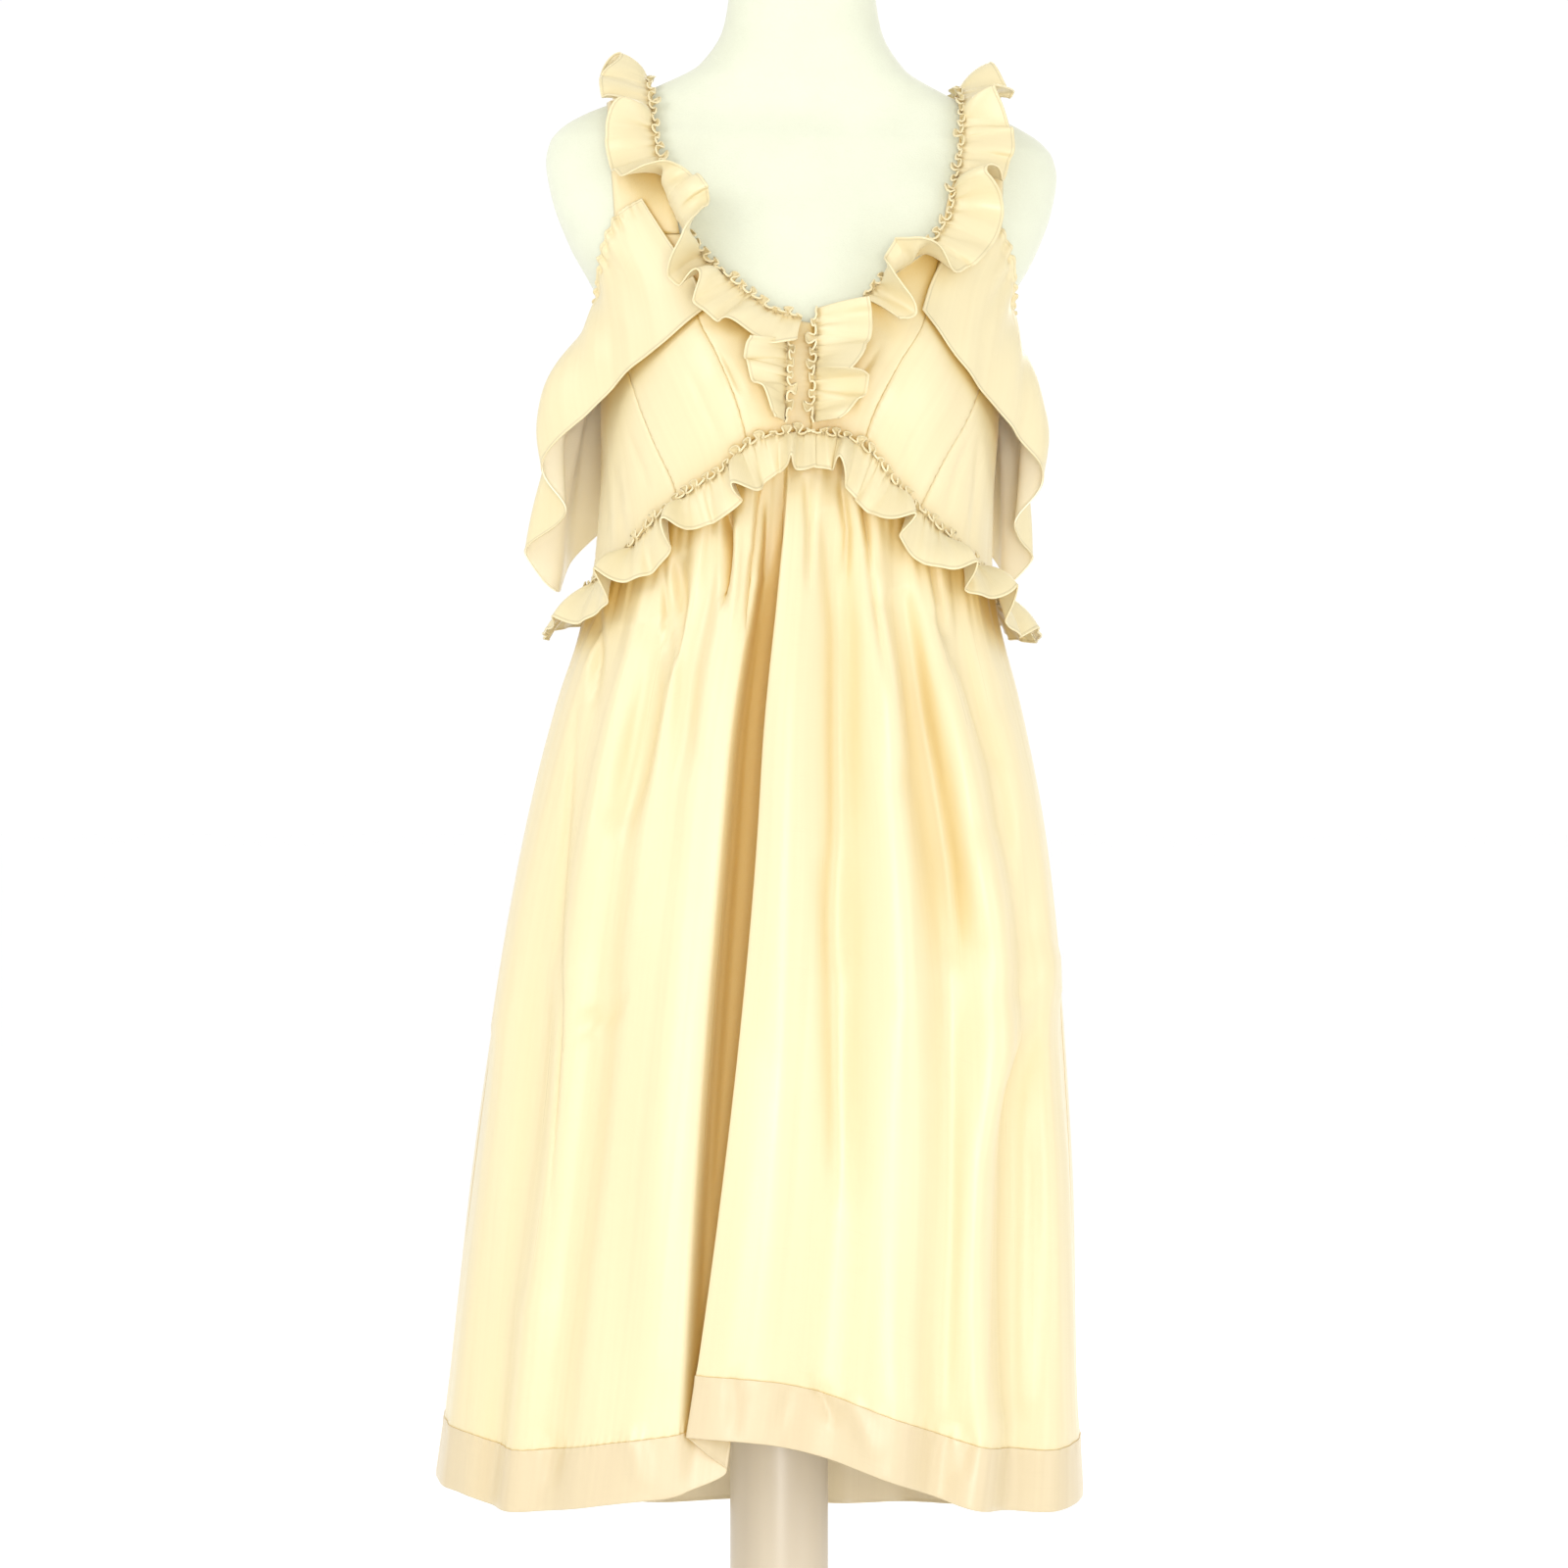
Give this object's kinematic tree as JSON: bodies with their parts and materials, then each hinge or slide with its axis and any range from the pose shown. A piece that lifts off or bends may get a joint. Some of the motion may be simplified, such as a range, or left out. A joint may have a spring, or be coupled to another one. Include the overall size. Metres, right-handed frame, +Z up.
{
  "type": "mini dress on a limbless dress form",
  "caption": "Sleeveless empire-line silk dress with gathered ruffles, flutter flounces and a deep hem band, on a dress form with a round base.",
  "frame": {"origin": "centre of the base's flat underside, on the floor, on the column's axis", "axes": "+Z up along the column; the dress's front faces -Y; +X is the viewer's right in the picture"},
  "size_m": [0.4776, 0.37, 1.4931],
  "materials": {
    "silk": "satin",
    "hem_band": "satin",
    "form_cover": "matte jersey",
    "stand": "satin"
  },
  "bodies": {
    "root": {"bodice_centre_left": "silk", "bodice_centre_right": "silk", "bodice_bust_left": "silk", "bodice_bust_right": "silk", "bodice_side_left": "silk", "bodice_side_right": "silk", "strap_left": "silk", "strap_right": "silk", "flounce_left": "silk", "flounce_right": "silk", "neck_ruffle_left": "silk", "neck_ruffle_right": "silk", "centre_ruffle_left": "silk", "centre_ruffle_right": "silk", "waist_ruffle_left": "silk", "waist_ruffle_right": "silk", "bodice_back": "silk", "waist_ruffle_back": "silk", "skirt_front": "silk", "skirt_back": "silk", "hem_band_front": "hem_band", "hem_band_back": "hem_band", "form_torso": "form_cover", "form_column": "stand", "form_base": "stand"}
  },
  "joints": []
}
